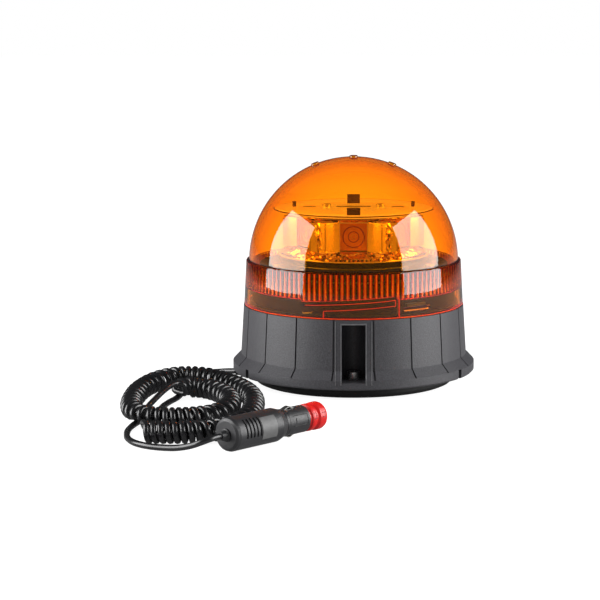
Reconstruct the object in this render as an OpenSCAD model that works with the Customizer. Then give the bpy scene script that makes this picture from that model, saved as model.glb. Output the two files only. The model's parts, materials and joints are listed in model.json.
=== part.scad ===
// LED warning beacon on a magnetic foot, with a curly lead and a vehicle-socket plug.
// Origin: centre of the magnet pad's underside. +Z is up. The front bolt pocket faces -Y.
// Azimuths are turned about +Z from the front, so +90 is towards +X.

/* [Base] */
// Outside diameter of the flange round the foot of the base
flange_d = 170; // [168:1:174]
// Outside diameter of the skirt where the lens sits on it
skirt_top_d = 154.6; // [153:0.2:156]
// Height of the skirt's top edge above the floor
base_top = 55.2; // [54:0.2:58]
// Outside diameter of the collar inside the lens
collar_d = 143.2; // [142:0.2:143.6]
// Number of vertical grooves round the skirt
groove_count = 18; // [12:6:18]

/* [Magnet foot] */
// Outside diameter of the rubber pad
pad_d = 139; // [138:1:142]
// Pitch circle of the three foot screws
foot_pcd = 130; // [128:1:131]

/* [Lens] */
// Outside diameter of the lens band at the step under the dome
band_top_d = 150.6; // [150:0.2:151.4]
// Outside radius of the dome
dome_r = 73.5; // [73:0.1:74]
// Number of flutes inside the band
flute_count = 120; // [60:12:132]

/* [Light module] */
// Outside diameter of the clear top disc
top_disc_d = 111.6; // [104:1:114]
// Outside diameter of the reflector base
module_d = 105; // [100:1:106]
// Number of LED cells round the module
cells = 6; // [6:1:6]

/* [Cord and plug] */
// Diameter of the cable
cable_d = 4.1; // [3.8:0.1:4.2]
// Outside diameter of the curled stretch
curl_d = 15; // [14:0.2:15]
// Outside diameter of the plug's grip
grip_d = 21.5; // [20:0.5:21.5]
// Outside diameter of the plug's front section
nose_d = 17.4; // [17:0.1:17.6]

/* [Hidden] */

$fn = 96;

// Levels of the beacon, from the floor up.
pad_floor = 1.6;
plate_under = 6;
foot_h = 8.5;
bottom_plate_top = 10.5;
pocket_floor = 13.3;
pocket_top = 52;
collar_top = 79;
deck_top = 84.8;
seam_z = 86.7;
dome_centre_z = 84.9;
module_foot_top = 86.6;
reflector_base_top = 90.5;
top_disc_z = 121;
top_disc_top = 123.4;

// Radii of the beacon.
flange_r = flange_d / 2;
skirt_top_r = skirt_top_d / 2;
skirt_foot_r = skirt_top_r + 2.1;
flare_h = flange_r - skirt_foot_r;
rim_top = 15;
flare_top = rim_top + flare_h + 0.2;
wall = 2.8;
gasket_h = 1;
collar_r = collar_d / 2;
shoulder_r = 56;
deck_r = 66;
plate_r = flange_r - wall;
pad_r = pad_d / 2;
foot_screw_r = foot_pcd / 2;
pocket_az = [0, 120, 240];
pocket_centre_r = 66;
pocket_w = 16;
pocket_wall = 2.2;
gland_az = -95;
gland_r = 75.5;
gland_exit_r = 84;
gland_exit_z = 4.8;

// The lens keeps a small gap to the base, so that it can turn.
lens_gap = 0.4;
lens_foot_z = base_top + lens_gap;
lens_wall = 2.5;
lens_skirt_in = skirt_top_r - 0.3 - lens_wall;
flute_z0 = 68.5;
flute_z1 = 86;
flute_out = 74.1;
flute_tip = 72.3;
flute_root = 73.4;
rib_in = 73;
lug_out = 74;
lug_z = 62.3;
rib_z = 60;
rib_h = 2;
lug_h = 2.4;

module_r = module_d / 2;
core_r = 27;
core_flat = core_r * cos(30);
cell_step = 360 / cells;
window_half = 9.7;

// ---------------------------------------------------------------- helpers

// Places its children at a radius and an azimuth, turned to face outwards along -Y.
module at(az, r = 0) {
    rotate([0, 0, az]) translate([0, -r, 0]) children();
}

module tube(r_out, r_in, z0, z1) {
    translate([0, 0, z0]) difference() {
        cylinder(r = r_out, h = z1 - z0);
        translate([0, 0, -1]) cylinder(r = r_in, h = z1 - z0 + 2);
    }
}

module post(r, z0, z1) {
    translate([0, 0, z0]) cylinder(r = r, h = z1 - z0);
}

module block(size, centre_x, y0, z0) {
    translate([centre_x - size[0] / 2, y0, z0]) cube(size);
}

function unit(v) = v / norm(v);
function tangent(p, i) = unit(p[min(i + 1, len(p) - 1)] - p[max(i - 1, 0)]);
function side(t) = unit(cross(t, [0, 0, 1]));

// Sweeps a round section of the given sides along the points.
module swept_tube(p, r, sides) {
    rings = [for (i = [0 : len(p) - 1])
        let (t = tangent(p, i), s = side(t), u = cross(s, t))
        for (k = [0 : sides - 1])
            p[i] + r * (cos(360 * k / sides) * s + sin(360 * k / sides) * u)];
    last = len(p) - 1;
    walls = [for (i = [0 : last - 1], k = [0 : sides - 1])
        let (a = i * sides + k, b = i * sides + (k + 1) % sides)
        each [[a, a + sides, b], [b, a + sides, b + sides]]];
    caps = [[for (k = [0 : sides - 1]) k],
            [for (k = [sides - 1 : -1 : 0]) last * sides + k]];
    polyhedron(rings, concat(walls, caps), convexity = 10);
}

// A thin insulated wire along the points.
module wire(p, r) {
    swept_tube(p, r, 8);
}

// ---------------------------------------------------------------- base

// Outline of the outside of the base, without its hollow.
module envelope_profile() {
    polygon([[0, bottom_plate_top], [flange_r, bottom_plate_top], [flange_r, rim_top],
             [skirt_foot_r, flare_top], [skirt_top_r, base_top], [0, base_top]]);
}

module housing_profile() {
    polygon([
        [plate_r, foot_h], [flange_r - 1, foot_h], [flange_r, foot_h + 1], [flange_r, rim_top],
        [skirt_foot_r, flare_top], [skirt_top_r, base_top], [collar_r, base_top],
        [collar_r, collar_top], [shoulder_r, collar_top], [shoulder_r, collar_top - 2.4],
        [collar_r - 2.4, collar_top - 2.4], [collar_r - 2.4, base_top - 2.6],
        [skirt_top_r - wall, base_top - 2.6], [skirt_foot_r - wall, flare_top + 1],
        [plate_r - 1.7, rim_top + 1], [plate_r - 1.7, bottom_plate_top + gasket_h],
        [plate_r, bottom_plate_top + gasket_h]
    ]);
}

// Walls round one bolt pocket, before the pocket is cut.
module pocket_boss() {
    boss_r = pocket_w / 2 + pocket_wall;
    boss_foot = bottom_plate_top + gasket_h + 0.3;
    boss_h = base_top - 0.7 - boss_foot;
    translate([0, -pocket_centre_r, boss_foot]) cylinder(r = boss_r, h = boss_h);
    block([2 * boss_r, flange_r - pocket_centre_r, boss_h], 0, -flange_r, boss_foot);
}

module pocket_cut() {
    translate([0, -pocket_centre_r, pocket_floor])
        cylinder(d = pocket_w, h = pocket_top - pocket_floor);
    block([pocket_w, flange_r + 5 - pocket_centre_r, pocket_top - pocket_floor],
          0, -flange_r - 5, pocket_floor);
}

// One groove: down the skirt, then down the flare to the rim's upper edge.
module groove_cut() {
    groove_w = 1.1;
    groove_deep = 1;
    lean = atan((skirt_foot_r - skirt_top_r) / (base_top - flare_top));
    translate([0, -skirt_foot_r, flare_top]) rotate([-lean, 0, 0])
        translate([-groove_w / 2, -1, -1.2]) cube([groove_w, 1 + groove_deep, 44]);
    translate([0, -flange_r, rim_top]) rotate([-45, 0, 0])
        translate([-groove_w / 2, -2, 0]) cube([groove_w, 2 + groove_deep, flare_h * sqrt(2) + 1]);
}

module base_housing() {
    notch_w = 4;
    color("dimgray") difference() {
        union() {
            rotate_extrude($fn = 180) housing_profile();
            intersection() {
                rotate_extrude($fn = 180) envelope_profile();
                union() for (az = pocket_az) at(az) pocket_boss();
            }
            for (az = pocket_az) at(az + 35) bayonet_lug();
        }
        for (az = pocket_az) at(az) {
            pocket_cut();
            translate([0, -foot_screw_r, 0]) post(2.8, foot_h, pocket_floor + 1);
            at(60) block([notch_w, 3, rim_top + 1 - foot_h], 0, -flange_r - 0.5, foot_h - 1);
        }
        for (i = [0 : groove_count - 1]) at((i + 0.5) * 360 / groove_count) groove_cut();
        for (az = pocket_az) at(az + 60, 60) post(1.25, collar_top - 3, collar_top + 1);
    }
}

// Lug on the collar that holds the lens down.
module bayonet_lug() {
    translate([0, 0, lug_z]) rotate([0, 0, -96]) rotate_extrude(angle = 12)
        translate([collar_r - 1, 0]) square([lug_out - collar_r + 1, lug_h]);
}

module deck_plate() {
    color("darkslategray") difference() {
        rotate_extrude($fn = 180) polygon([
            [5.5, 81.5], [54, 81.5], [54, collar_top], [deck_r, collar_top],
            [deck_r, deck_top - 0.6], [deck_r - 0.6, deck_top], [5.5, deck_top]]);
        for (az = pocket_az) at(az + 60, 60) post(1.8, collar_top - 1, deck_top + 1);
    }
}

module deck_screws() {
    color("silver") for (az = pocket_az) at(az + 60, 60) {
        post(1.2, collar_top - 2.4, deck_top);
        translate([0, 0, deck_top]) difference() {
            cylinder(r = 3.2, h = 1.7);
            translate([-2, -0.4, 0.9]) cube([4, 0.8, 2]);
        }
    }
}

module bottom_plate() {
    color("#2b2b2d") difference() {
        post(plate_r - 0.2, foot_h, bottom_plate_top);
        for (az = pocket_az) at(az, foot_screw_r) post(2.8, foot_h - 1, bottom_plate_top + 1);
        at(gland_az, gland_r) post(3.5, foot_h - 1, bottom_plate_top + 1);
        at(90, 30) post(4, foot_h - 1, bottom_plate_top + 1);
    }
}

module base_gasket() {
    color("black") tube(plate_r - 0.3, plate_r - 1.6, bottom_plate_top, bottom_plate_top + gasket_h);
}

module lens_gasket() {
    color("black") tube(collar_r + 2.3, collar_r, base_top, base_top + 2.4);
}

module vent_plug() {
    color("gray") at(90, 30) {
        post(3.9, foot_h + 0.1, bottom_plate_top);
        post(6, bottom_plate_top, bottom_plate_top + 2);
    }
}

// ---------------------------------------------------------------- magnet foot

module magnet_pad() {
    color("#151515") rotate_extrude($fn = 180) polygon([
        [0, 0], [pad_r - 3, 0], [pad_r - 0.9, 0.9], [pad_r, 3], [pad_r, plate_under],
        [pad_r - 2.3, plate_under], [pad_r - 2.3, pad_floor], [0, pad_floor]]);
}

module ring_magnet() {
    color("#3a3a3e") tube(57, 32, pad_floor, plate_under);
}

module pole_ring() {
    color("gray") tube(pad_r - 2.5, 58, pad_floor, plate_under);
}

module pole_disc() {
    color("gray") post(31, pad_floor, plate_under);
}

module magnet_backplate() {
    color("#1d1d1f") difference() {
        post(pad_r - 0.1, plate_under, foot_h);
        for (az = pocket_az) at(az, foot_screw_r) post(2.55, plate_under - 1, foot_h + 1);
    }
}

module foot_screws() {
    head_z = pocket_floor + 1.2;
    color("silver") for (az = pocket_az) at(az, foot_screw_r) {
        post(2.5, plate_under + 0.1, head_z);
        translate([0, 0, head_z]) difference() {
            cylinder(r = 4.4, h = 3.6);
            translate([0, 0, 1.6]) cylinder(r = 2.3, h = 3, $fn = 6);
        }
    }
}

module foot_washers() {
    color("silver") for (az = pocket_az) at(az, foot_screw_r)
        tube(5.2, 2.7, pocket_floor, pocket_floor + 1.2);
}

// ---------------------------------------------------------------- cable entry and driver

// Elbow gland: a stem through the bottom plate and a tapered sleeve under the flange.
module cable_gland() {
    color("#202022") at(gland_az) {
        translate([0, -gland_r, 0]) {
            post(3.3, foot_h, bottom_plate_top);
            post(5, bottom_plate_top, bottom_plate_top + 3);
        }
        block([9, 9, foot_h - 1.3], 0, -gland_r - 4.5, 1.3);
        translate([0, -gland_r - 4.5, gland_exit_z]) rotate([90, 0, 0])
            cylinder(r1 = 3.4, r2 = 2.7, h = gland_exit_r - gland_r - 4.5);
    }
}

module lead_wires() {
    top = bottom_plate_top + 3.3;
    color("firebrick") for (s = [-1, 1])
        wire([[-gland_r, 6.6 + 1.3 * s, top], [-gland_r + 3, 6.6 + 1.3 * s, 24],
              [-60, 4 + 2 * s, 36], [-48, 2.5 * s, 37.6], [-43.5, 2.5 * s, 37.6]], 0.8);
}

board_z = 30;
board_top = 31.6;

module driver_board() {
    color("darkgreen") difference() {
        post(50, board_z, board_top);
        for (q = [45 : 90 : 315]) at(q, 40) post(1.6, board_z - 1, board_top + 1);
        post(6, board_z - 1, board_top + 1);
    }
}

module board_posts() {
    color("gray") for (q = [45 : 90 : 315]) at(q, 40) difference() {
        post(3.2, bottom_plate_top, board_z);
        post(1.45, 18, board_z + 1);
    }
}

module board_screws() {
    color("silver") for (q = [45 : 90 : 315]) at(q, 40) {
        post(1.4, 20, board_top);
        post(2.7, board_top, board_top + 1.8);
    }
}

module driver_capacitors() {
    color("#26303c") for (p = [[20, -22], [32, -14], [36, 0]])
        translate([p[0], p[1], 0]) post(5, board_top, board_top + 14);
}

module driver_inductor() {
    color("#54463a") translate([16, 22, 0]) {
        post(8, board_top, board_top + 2);
        post(6.4, board_top + 2, board_top + 7);
        post(8, board_top + 7, board_top + 9);
    }
}

module driver_chips() {
    color("#1a1a1a") for (p = [[-14, -24], [-22, 18], [0, 34]])
        block([9, 7, 1.8], p[0], p[1] - 3.5, board_top);
}

module terminal_block() {
    color("seagreen") difference() {
        block([9, 16, 10], -39, -8, board_top);
        for (s = [-1, 1])
            translate([-36, 2.5 * s, board_top + 5]) rotate([0, 90, 0]) cylinder(r = 1.2, h = 9, $fn = 24);
    }
}

module module_wires() {
    color("goldenrod") for (s = [-1, 1]) translate([2 * s, 0, 0]) post(0.9, board_top, 112);
}

// ---------------------------------------------------------------- light module

module heat_sink() {
    color("lightgray") difference() {
        union() {
            post(46, deck_top, module_foot_top);
            translate([0, 0, module_foot_top]) linear_extrude(top_disc_z - module_foot_top)
                circle(r = core_r, $fn = cells);
        }
        post(5.5, deck_top - 1, top_disc_z + 1);
        for (s = [-1, 1]) translate([18.8 * s, 0, 0]) post(1.55, 111, top_disc_z + 1);
    }
}

module reflector_base() {
    color("gold") tube(module_r, 28.5, module_foot_top, reflector_base_top);
}

lower_reflector_top = 96.6;
upper_reflector_foot = 116.8;
reflector_bore_r = 38.5;

module lower_reflector() {
    color("orange") rotate_extrude() polygon([
        [reflector_bore_r, reflector_base_top], [module_r - 1, reflector_base_top],
        [module_r - 1, reflector_base_top + 0.8], [40.8, lower_reflector_top],
        [reflector_bore_r, lower_reflector_top]]);
}

module upper_reflector() {
    color("orange") rotate_extrude() polygon([
        [reflector_bore_r, upper_reflector_foot], [40.8, upper_reflector_foot],
        [50, top_disc_z - 1.2], [50, top_disc_z], [reflector_bore_r, top_disc_z]]);
}

// A point on the line between two cells, and the mirror image of a point over that line.
boundary = [sin(cell_step / 2), -cos(cell_step / 2)];
function over_boundary(p) = 2 * (p * boundary) * boundary - p;

// Plan of the mirror between two windows: out from one window, back to the line between the
// cells, and the same again on the next cell.
module mirror_plan() {
    face = [[window_half, -39.2], [19.5, -45.2], 47 * boundary];
    back = [44.5 * boundary, [19.2, -42.6], [window_half, -37]];
    polygon(concat(face, [over_boundary(face[1]), over_boundary(face[0]),
                          over_boundary(back[2]), over_boundary(back[1])], back));
}

module reflector_ring() {
    color("khaki") translate([0, 0, lower_reflector_top + 0.1])
        linear_extrude(upper_reflector_foot - lower_reflector_top - 0.2)
            for (c = [0 : cells - 1]) rotate(c * cell_step) mirror_plan();
}

module led_boards() {
    color("white") for (c = [0 : cells - 1]) at(c * cell_step)
        block([22, 1.2, 24], 0, -core_flat - 1.2, 94);
}

led_z = 106.5;

module led_chips() {
    color("yellow") for (c = [0 : cells - 1]) at(c * cell_step)
        block([3.6, 1, 3.6], 0, -core_flat - 2.2, led_z - 1.8);
}

module collimator_lenses() {
    color("orange") for (c = [0 : cells - 1]) at(c * cell_step)
        translate([0, -core_flat - 1.2, led_z]) rotate([90, 0, 0]) difference() {
            union() {
                cylinder(r1 = 4.6, r2 = 8.6, h = 11);
                translate([-9.2, -9.2, 11]) cube([18.4, 18.4, 2]);
            }
            translate([0, 0, -1]) cylinder(r = 3.4, h = 4.5);
        }
}

module top_disc() {
    color("moccasin") difference() {
        rotate_extrude($fn = 180) polygon([
            [0, top_disc_z], [top_disc_d / 2 - 1.6, top_disc_z], [top_disc_d / 2, top_disc_z + 1.2],
            [top_disc_d / 2 - 1.2, top_disc_top], [0, top_disc_top]]);
        for (s = [-1, 1]) translate([18.8 * s, 0, 0]) post(1.8, top_disc_z - 1, top_disc_top + 1);
        block([24, 4, 10], 0, -2, top_disc_z - 1);
        for (s = [-1, 1]) block([9, 3, 10], 31 * s, -1.5, top_disc_z - 1);
    }
}

module top_disc_screws() {
    color("silver") for (s = [-1, 1]) translate([18.8 * s, 0, 0]) {
        post(1.5, 112, top_disc_top);
        translate([0, 0, top_disc_top]) difference() {
            cylinder(r = 3, h = 1.8);
            for (q = [0, 90]) rotate([0, 0, q]) translate([-1.8, -0.35, 1]) cube([3.6, 0.7, 2]);
        }
    }
}

module top_clips() {
    color("saddlebrown") {
        block([9, 5, 4.6], 0, -54, top_disc_top);
        block([9, 3, 6.4], 0, 20, top_disc_top);
    }
}

module top_posts() {
    color("#3b2a16") for (s = [-1, 1]) translate([41.5 * s, 0, 0]) post(1.3, top_disc_top, 127.2);
}

// ---------------------------------------------------------------- lens

module lens_shell() {
    ledge_in = dome_r - lens_wall;
    rotate_extrude($fn = 180) difference() {
        union() {
            polygon([[0, lens_foot_z], [skirt_top_r - 0.3, lens_foot_z], [band_top_d / 2, seam_z - 0.5],
                     [band_top_d / 2 - 0.5, seam_z], [0, seam_z]]);
            intersection() {
                translate([0, dome_centre_z]) circle(r = dome_r, $fn = 180);
                translate([0, seam_z - 1]) square([dome_r, dome_r + 10]);
            }
        }
        polygon([[0, lens_foot_z - 1], [lens_skirt_in, lens_foot_z - 1], [lens_skirt_in, flute_z0],
                 [flute_root + 0.3, flute_z0 + 0.5], [flute_root + 0.3, seam_z - 1.2],
                 [ledge_in, seam_z - 0.4], [ledge_in, seam_z + 2], [0, seam_z + 2]]);
        intersection() {
            translate([0, dome_centre_z]) circle(r = ledge_in, $fn = 180);
            translate([0, seam_z]) square([dome_r, dome_r + 10]);
        }
    }
}

// Ring of vertical ribs inside the band.
module flutes() {
    step = 360 / flute_count;
    translate([0, 0, flute_z0 + 0.5]) linear_extrude(flute_z1 - flute_z0 - 1) difference() {
        circle(r = flute_out, $fn = 180);
        polygon([for (i = [0 : flute_count - 1], k = [[-0.3, flute_root], [0, flute_tip], [0.3, flute_root]])
            k[1] * [cos((i + k[0]) * step), sin((i + k[0]) * step)]]);
    }
}

// Rib inside the lens that slides under one collar lug.
module bayonet_rib() {
    translate([0, 0, rib_z]) rotate([0, 0, -97]) rotate_extrude(angle = 16)
        translate([rib_in, 0]) square([lens_skirt_in + 0.5 - rib_in, rib_h]);
}

// Raised dot on the dome, leaned away from the axis.
module pip(lean) {
    translate([0, 0, dome_centre_z]) rotate([0, lean, 0])
        translate([0, 0, dome_r - 1]) cylinder(r1 = 3, r2 = 2.7, h = 2.1);
}

module lens() {
    color([1, 0.45, 0, 0.55]) {
        lens_shell();
        flutes();
        for (az = pocket_az) at(az + 35) bayonet_rib();
        for (lean = [-21.5, 0, 21.5]) pip(lean);
    }
}

// ---------------------------------------------------------------- plug

plug_at = [-78, -236.5, 10.85];
plug_yaw = 48;
plug_z = [0, 45.5, 66.8, 79, 83];
grip_r = grip_d / 2;
nose_r = nose_d / 2;
barrel_r = 5.5;
tip_r = 1.9;
relief_len = 5;

// Places its children on the plug: local z runs from the rear face to the tip, local -x is up.
module on_plug() {
    translate(plug_at) rotate([0, 0, plug_yaw]) rotate([0, 90, 0]) children();
}

module plug_body() {
    color("#3c3c3e") on_plug() difference() {
        rotate_extrude() polygon([
            [4.2, 0], [grip_r - 2.2, 0], [grip_r - 0.6, 0.9], [grip_r, 2.8], [grip_r, 40.5],
            [nose_r + 0.5, 45.5], [7.8, 45.5], [7.8, 3], [4.2, 3]]);
        for (i = [0 : 4]) translate([0, 0, 7.5 + 3 * i]) rotate([0, 0, 212])
            rotate_extrude(angle = 70) translate([grip_r - 0.8, 0]) square([2, 1.4]);
    }
}

module plug_strain_relief() {
    color("#303032") on_plug() rotate_extrude() polygon([
        [0, -relief_len], [2.6, -relief_len], [3.4, -1.5], [4.1, -1], [4.1, 3], [0, 3]]);
}

// Blank plate where a rating label would sit.
module plug_label_plate() {
    color("gray") on_plug() translate([0, 0, 21.5]) rotate([0, 0, 220])
        rotate_extrude(angle = 76) translate([grip_r, 0]) square([0.3, 13]);
}

module plug_fuse() {
    color("lightsteelblue") on_plug() translate([0, 0, 3]) cylinder(r = 3.1, h = 37);
}

module spring_slot() {
    translate([-11, -2, 47.4]) cube([6.3, 4, 13.8]);
}

module plug_nose() {
    color("#303032") on_plug() difference() {
        union() {
            translate([0, 0, 40]) cylinder(r = 3, h = 6);
            translate([0, 0, 45.5]) cylinder(r = nose_r - 0.2, h = 1);
            translate([0, 0, 46.5]) cylinder(r = nose_r, h = plug_z[2] - 46.5);
            translate([0, 0, 60]) cylinder(r = barrel_r, h = plug_z[3] - 60);
        }
        translate([0, 0, 50]) cylinder(r = 3, h = 26.5);
        translate([0, 0, 70]) cylinder(r = tip_r + 0.05, h = 10);
        spring_slot();
        mirror([1, 0, 0]) spring_slot();
    }
}

module plug_adapter() {
    front = 79.4;
    color("red") on_plug() difference() {
        rotate_extrude() polygon([
            [0, 67.1], [nose_r - 1.2, 67.1], [nose_r - 1.2, 68.8], [nose_r - 0.2, 69.6],
            [nose_r + 0.1, 70.6], [nose_r + 0.1, 72.4], [nose_r - 0.9, 73.8],
            [nose_r - 0.9, 74.8], [nose_r + 0.2, 76.2], [nose_r + 0.3, 77.4],
            [nose_r + 0.3, 80.8], [nose_r - 0.2, 82.2], [nose_r - 1.2, plug_z[4]],
            [0, plug_z[4]]]);
        translate([0, 0, 60]) cylinder(r = barrel_r + 0.05, h = front - 60);
        translate([0, 0, 70]) cylinder(r = 4.2, h = 20);
    }
}

module tip_contact() {
    color("silver") on_plug() {
        translate([0, 0, 64]) cylinder(r = 2.9, h = 12.2);
        translate([0, 0, 70]) cylinder(r = tip_r, h = 11.6);
        translate([0, 0, 81.6]) cylinder(r1 = tip_r, r2 = tip_r - 0.8, h = 1);
    }
}

module tip_spring() {
    color("silver") on_plug() translate([0, 0, 53.4]) difference() {
        cylinder(r = 2.7, h = 10.6);
        translate([0, 0, -1]) cylinder(r = 2, h = 13);
    }
}

// Side view of one spring contact: a thin leaf that bows out of its slot.
module leaf() {
    rotate([90, 0, 0]) translate([0, 0, -1.7]) linear_extrude(3.4) polygon([
        [-7, 47.8], [-7.6, 47.8], [-9.1, 51], [-10, 54], [-9.8, 55.5], [-8.6, 58.4], [-7, 60],
        [-6.4, 59.6], [-8, 58], [-9.2, 55.3], [-9.4, 54], [-8.5, 51.2]]);
}

module earth_spring_upper() {
    color("silver") on_plug() leaf();
}

module earth_spring_lower() {
    color("silver") on_plug() mirror([1, 0, 0]) leaf();
}

// ---------------------------------------------------------------- cord

floor_gap = 0.05;
cable_z = cable_d / 2 + floor_gap;
curl_z = curl_d / 2 + floor_gap;

// From the gland, round behind the curl and under it, up to the top of the curl's outer end.
lead_route = [
    [-83.7, 7.3, gland_exit_z], [-91, 11, 4], [-98, 15, 2.8], [-106, 17, cable_z],
    [-114, 13, cable_z], [-120, 4, cable_z], [-123, -8, cable_z], [-123, -22, cable_z],
    [-121, -36, cable_z], [-119, -50, cable_z], [-118, -64, cable_z], [-120, -78, cable_z],
    [-124, -92, cable_z], [-127, -107, cable_z], [-128, -123, cable_z], [-128, -139, cable_z],
    [-128, -155, cable_z], [-129, -170, cable_z], [-130.5, -184, 3.2], [-131.5, -195, 7.6],
    [-131.5, -204, 11.8], [-129.5, -211, 13]
];

// From the top of the curl's inner end, under the curl's front, and round it to the plug.
tail_route = [
    [-118.5, -80, 13], [-121, -82.5, 12.9], [-124.5, -87.5, 11.7], [-129, -96, 9],
    [-133, -104.5, 6], [-136, -113, 3.6], [-137, -124, cable_z], [-137, -137, cable_z],
    [-138, -151, cable_z], [-141, -164, cable_z], [-143, -178, cable_z], [-143, -192, cable_z],
    [-141, -206, cable_z], [-136, -218, cable_z], [-128, -227, cable_z], [-118, -233, 2.3],
    [-108, -239, 3.4], [-99, -244, 5.8], [-93, -247, 8.4], [-88, -246.5, 10.2],
    [-84, -243.1, 10.85], [-81.4, -240.2, 10.85]
];

// Plan of the curled stretch's centre line, from its outer end to its inner end.
curl_plan = [
    [-129, -212], [-116, -213], [-103, -212.5], [-91, -209], [-81, -200], [-73, -186],
    [-68, -170], [-66, -152], [-65.5, -134], [-66, -116], [-68.5, -98], [-73, -81], [-79, -66],
    [-86, -52.5], [-95, -40], [-105, -31], [-116, -27.5], [-126, -32], [-134, -43], [-140, -58],
    [-144, -76], [-146, -95], [-146.5, -114], [-145.5, -132], [-143, -147], [-138, -159.5],
    [-129, -168], [-117, -171], [-105, -169.5], [-94, -164], [-86, -153.5], [-82, -139],
    [-81, -123], [-82.5, -107], [-87, -92], [-94, -78], [-101.5, -69], [-110, -66.5],
    [-116, -71], [-118.5, -80]
];

module cord_lead() {
    color("#101010") swept_tube(lead_route, cable_d / 2, 8);
}

module cord_curl() {
    color("#101010") swept_tube([for (p = curl_plan) [p[0], p[1], curl_z]], curl_d / 2, 12);
}

module cord_tail() {
    color("#101010") swept_tube(tail_route, cable_d / 2, 8);
}

// ---------------------------------------------------------------- nodes

base_housing();
deck_plate();
deck_screws();
bottom_plate();
base_gasket();
lens_gasket();
magnet_pad();
ring_magnet();
pole_ring();
pole_disc();
magnet_backplate();
foot_screws();
foot_washers();
cable_gland();
lead_wires();
vent_plug();
driver_board();
board_posts();
board_screws();
driver_capacitors();
driver_inductor();
driver_chips();
terminal_block();
module_wires();
heat_sink();
reflector_base();
lower_reflector();
upper_reflector();
reflector_ring();
led_boards();
led_chips();
collimator_lenses();
top_disc();
top_disc_screws();
top_clips();
top_posts();
lens();
plug_body();
plug_strain_relief();
plug_label_plate();
plug_fuse();
plug_nose();
plug_adapter();
tip_contact();
tip_spring();
earth_spring_upper();
earth_spring_lower();
cord_lead();
cord_curl();
cord_tail();
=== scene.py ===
"""LED warning beacon on a magnetic foot, with an amber lens, a curly lead and a socket plug.

Lengths in the tables below are millimetres and angles degrees; MM turns them into metres.
Azimuths go round +Z from the front of the beacon (-Y), and +90 is towards +X.
"""

import json
import math
import random

import bmesh
import bpy
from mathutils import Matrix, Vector


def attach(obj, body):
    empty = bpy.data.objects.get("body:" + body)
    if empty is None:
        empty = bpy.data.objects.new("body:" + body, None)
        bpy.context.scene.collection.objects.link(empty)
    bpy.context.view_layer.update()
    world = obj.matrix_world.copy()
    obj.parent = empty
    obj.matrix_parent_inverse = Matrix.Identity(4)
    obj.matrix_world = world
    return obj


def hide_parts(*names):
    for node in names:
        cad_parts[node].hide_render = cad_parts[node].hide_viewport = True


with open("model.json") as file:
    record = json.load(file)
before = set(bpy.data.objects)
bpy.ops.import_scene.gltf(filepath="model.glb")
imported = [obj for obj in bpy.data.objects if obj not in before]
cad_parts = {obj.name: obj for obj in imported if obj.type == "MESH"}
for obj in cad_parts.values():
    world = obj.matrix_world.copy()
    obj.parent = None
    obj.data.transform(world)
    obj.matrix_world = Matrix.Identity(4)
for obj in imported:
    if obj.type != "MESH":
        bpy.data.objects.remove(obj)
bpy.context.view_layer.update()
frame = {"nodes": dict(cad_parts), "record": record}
MM = 0.001
COAT_ROUGH = 0.15
GRAIN_HEIGHT = 0.2 * MM
RIPPLE_HEIGHT = 0.5 * MM
RIPPLE_SIZE = 14.0


# ---------------------------------------------------------------- helpers


def polar(azimuth, radius, height):
    """The point at an azimuth, a radius and a height, in the unit that those two have."""
    a = math.radians(azimuth)
    return Vector((radius * math.sin(a), -radius * math.cos(a), height))


def turned(azimuth, x, y, height):
    """A point of the beacon's front, turned about its axis to an azimuth."""
    a = math.radians(azimuth)
    return Vector((x * math.cos(a) - y * math.sin(a), x * math.sin(a) + y * math.cos(a), height))


def mesh_piece(name, points, faces, material, body, smooth=None):
    """A mesh from points in millimetres. smooth is the angle under which edges are rounded off."""
    mesh = bpy.data.meshes.new(name)
    mesh.from_pydata([Vector(p) * MM for p in points], [], faces)
    work = bmesh.new()
    work.from_mesh(mesh)
    bmesh.ops.recalc_face_normals(work, faces=work.faces)
    work.to_mesh(mesh)
    work.free()
    if smooth is not None:
        mesh.shade_smooth()
        mesh.set_sharp_from_angle(angle=math.radians(smooth))
    mesh.materials.append(material)
    piece = bpy.data.objects.new(name, mesh)
    bpy.context.scene.collection.objects.link(piece)
    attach(piece, body)
    return piece


def grid_faces(rows, columns, start=0):
    """Quads between rows of points that each go right round."""
    faces = []
    for i in range(rows - 1):
        for j in range(columns):
            k = (j + 1) % columns
            a = start + i * columns
            b = a + columns
            faces.append((a + j, a + k, b + k, b + j))
    return faces


def capped_faces(rows, columns, start=0):
    """Quads between rows of points that each go right round, and a face over each end row."""
    first = tuple(range(start, start + columns))
    return grid_faces(rows, columns, start) + [first, tuple(i + (rows - 1) * columns for i in first)]


def ring_faces(rows, columns):
    """Quads between rows of points, the last row joined to the first."""
    last = (rows - 1) * columns
    return grid_faces(rows, columns) + [(last + j, last + (j + 1) % columns, (j + 1) % columns, j)
                                        for j in range(columns)]


def lathe(name, profile, columns, material, body):
    """A closed ring: a closed outline of (radius, height) points turned about the beacon's axis."""
    points = [polar(360 * j / columns, r, z) for r, z in profile for j in range(columns)]
    return mesh_piece(name, points, ring_faces(len(profile), columns), material, body, 30)


def smooth_path(points, step):
    """A curve through the points, with a point about every step."""
    points = [Vector(p) for p in points]
    ends = [2 * points[0] - points[1]] + points + [2 * points[-1] - points[-2]]
    path = []
    for a, b, c, d in zip(ends, ends[1:], ends[2:], ends[3:]):
        count = max(1, round((c - b).length / step))
        for i in range(count):
            t = i / count
            path.append(0.5 * (2 * b + (c - a) * t + (2 * a - 5 * b + 4 * c - d) * t * t
                               + (3 * b - a - 3 * c + d) * t ** 3))
    path.append(points[-1])
    return path


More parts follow.
